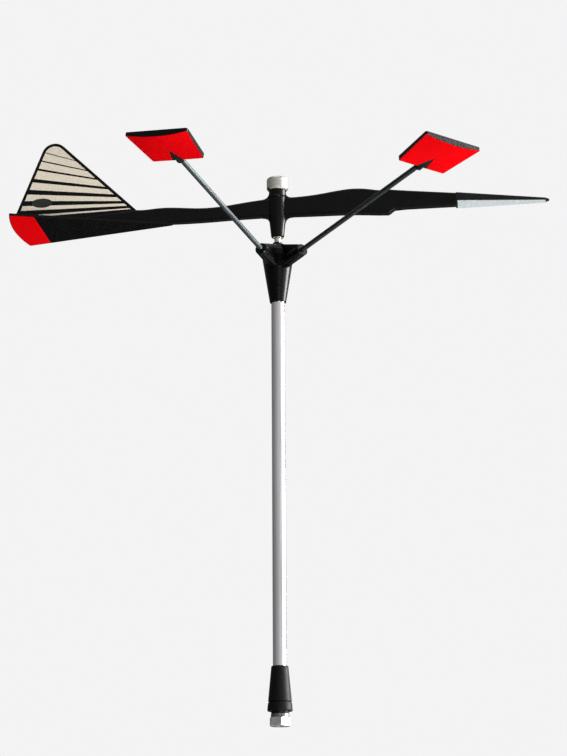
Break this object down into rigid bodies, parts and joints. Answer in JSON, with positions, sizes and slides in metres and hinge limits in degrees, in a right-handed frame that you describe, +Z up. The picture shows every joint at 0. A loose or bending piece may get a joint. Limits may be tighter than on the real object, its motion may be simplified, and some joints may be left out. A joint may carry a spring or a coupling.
{
  "type": "masthead wind indicator",
  "caption": "Sailing masthead wind indicator: a balanced vane with tail plane and finned tail spinning on a needle above reference arms with red tabs, on a tube mast with a hex base.",
  "frame": {"origin": "centre of the base fitting's bottom face, at the mouth of its threaded socket", "axes": "+Z up the mast, +X towards the boat's bow; the two reference arms point aft, one each side of the XZ plane, with the port arm on +Y"},
  "size_m": [0.2612, 0.3752, 0.4196],
  "materials": {
    "gloss_black": "gloss",
    "satin_black": "satin",
    "badge_grey": "satin",
    "tube_aluminium": "satin",
    "cap_aluminium": "satin",
    "plated_steel": "satin",
    "stainless": "polished",
    "brass": "satin",
    "red_foil": "satin",
    "silver_foil": "satin",
    "nose_silver": "satin",
    "painted_weight": "gloss",
    "jewel": "polished",
    "bush_white": "satin"
  },
  "bodies": {
    "mast": {"base_fitting": "plated_steel", "spring_washer": "plated_steel", "base_collar": "satin_black", "base_insert": "brass", "base_sleeve": "satin_black", "mast_tube": "tube_aluminium", "tube_plug": "tube_aluminium", "spindle_plug": "tube_aluminium", "arm_holder": "gloss_black", "arm_set_screws": "stainless", "spindle": "stainless", "spindle_clip": "stainless"},
    "port_arm": {"port_arm_rod": "stainless", "port_tab": "gloss_black", "port_tab_foil": "red_foil"},
    "starboard_arm": {"starboard_arm_rod": "stainless", "starboard_tab": "gloss_black", "starboard_tab_foil": "red_foil"},
    "vane": {"vane_body": "gloss_black", "nose_weight": "painted_weight", "nose_foil": "nose_silver", "tail_foil": "red_foil", "fin_foil_port": "silver_foil", "fin_foil_starboard": "silver_foil", "fin_badge_port": "badge_grey", "fin_badge_starboard": "badge_grey", "bearing_cap": "cap_aluminium", "bearing_jewel": "jewel", "jewel_setting": "brass", "guide_bush": "bush_white"}
  },
  "joints": [
    {"name": "vane_spin", "type": "hinge", "parent": "mast", "child": "vane", "pos_m": [0, 0, 0], "axis": [0, 0, 1], "continuous": true},
    {"name": "port_arm_twist", "type": "hinge", "parent": "mast", "child": "port_arm", "pos_m": [0, 0, 0.3206], "axis": [-0.8717, 0.4635, 0.159], "range_deg": [-3.6, 12.4]},
    {"name": "starboard_arm_twist", "type": "hinge", "parent": "mast", "child": "starboard_arm", "pos_m": [0, 0, 0.3206], "axis": [-0.8717, -0.4635, 0.159], "range_deg": [-4.1, 11.9]}
  ]
}
